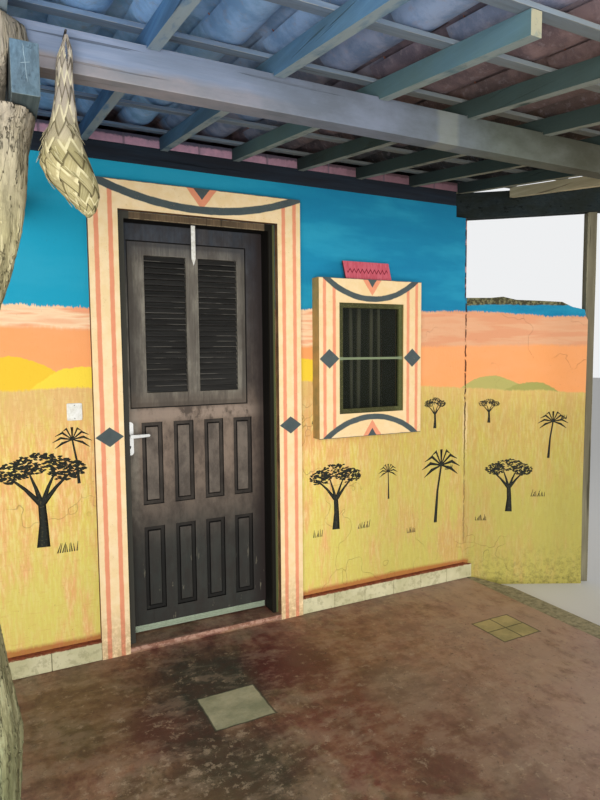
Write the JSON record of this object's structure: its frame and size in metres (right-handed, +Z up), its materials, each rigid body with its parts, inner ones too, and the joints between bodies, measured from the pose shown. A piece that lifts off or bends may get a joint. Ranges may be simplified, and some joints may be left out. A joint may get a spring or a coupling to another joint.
{
  "type": "painted hut with veranda",
  "caption": "Small rectangular plastered hut with a hollow room, a panelled and louvred door that opens, one window, a wing wall and a tiled veranda on timber posts.",
  "frame": {"origin": "on the ground under the middle of the room's floor", "axes": "+Z up, +Y from the front wall to the back wall, +X to the right as seen from the veranda"},
  "size_m": [4.0308, 5.9528, 3.0734],
  "materials": {
    "cement": "smooth cement",
    "red_cement": "worn polished red cement",
    "edging_cement": "rough cement",
    "painted_plaster": "brushed matt paint on plaster",
    "painted_border": "matt paint on plaster",
    "skirting_tile": "worn satin",
    "frame_wood": "old varnish",
    "door_wood": "worn dark stain",
    "hinge_steel": "dull",
    "handle_metal": "polished",
    "strip_metal": "ribbed satin",
    "white_plastic": "satin",
    "window_metal": "dull paint",
    "window_glass": "clear",
    "rod_wood": "varnish",
    "curtain_cloth": "soft weave",
    "dark_timber": "weathered stain",
    "grey_timber": "weathered grey",
    "bare_trunk": "weathered bare wood",
    "infill_masonry": "rough render",
    "clay_tile": "weathered clay",
    "sign_wood": "painted",
    "palm_fibre": "dry woven leaf"
  },
  "bodies": {
    "house": {"room_floor": "cement", "veranda_floor": "red_cement", "floor_edging": "edging_cement", "doorstep": "red_cement", "front_wall_left": "painted_plaster", "front_wall_head": "painted_plaster", "front_wall_right": "painted_plaster", "left_wall": "painted_plaster", "right_wall": "painted_plaster", "back_wall": "painted_plaster", "wing_wall": "painted_plaster", "door_surround": "painted_border", "window_surround": "painted_border", "skirting_left": "skirting_tile", "skirting_right": "skirting_tile", "door_frame": "frame_wood", "frame_hinges": "hinge_steel", "door_slat": "white_plastic", "window_frame": "window_metal", "window_glass": "window_glass", "curtain_rod": "rod_wood", "window_curtain": "curtain_cloth", "front_plate": "dark_timber", "back_plate": "dark_timber", "ridge_beam": "dark_timber", "veranda_beam": "grey_timber", "tie_beam": "grey_timber", "trunk_post": "bare_trunk", "right_trunk": "bare_trunk", "corner_beam": "dark_timber", "wing_post": "dark_timber", "front_rafters": "grey_timber", "back_rafters": "grey_timber", "verge_rafter": "grey_timber", "front_laths": "grey_timber", "back_laths": "grey_timber", "front_infill": "infill_masonry", "back_infill": "infill_masonry", "front_tiles": "clay_tile", "back_tiles": "clay_tile", "ridge_tiles": "clay_tile", "switch_plate": "white_plastic", "sign_board": "sign_wood", "woven_ornament": "palm_fibre", "ornament_nail": "hinge_steel"},
    "door": {"door_leaf": "door_wood", "louvre_sash": "door_wood", "door_louvres": "door_wood", "door_panels": "door_wood", "leaf_hinges": "hinge_steel", "door_handles": "handle_metal", "weather_strip": "strip_metal"}
  },
  "joints": [
    {"name": "door_hinge", "type": "hinge", "parent": "house", "child": "door", "pos_m": [0.0115, -1.544, 1.169], "axis": [0, 0, -1], "range_deg": [0, 110]}
  ]
}
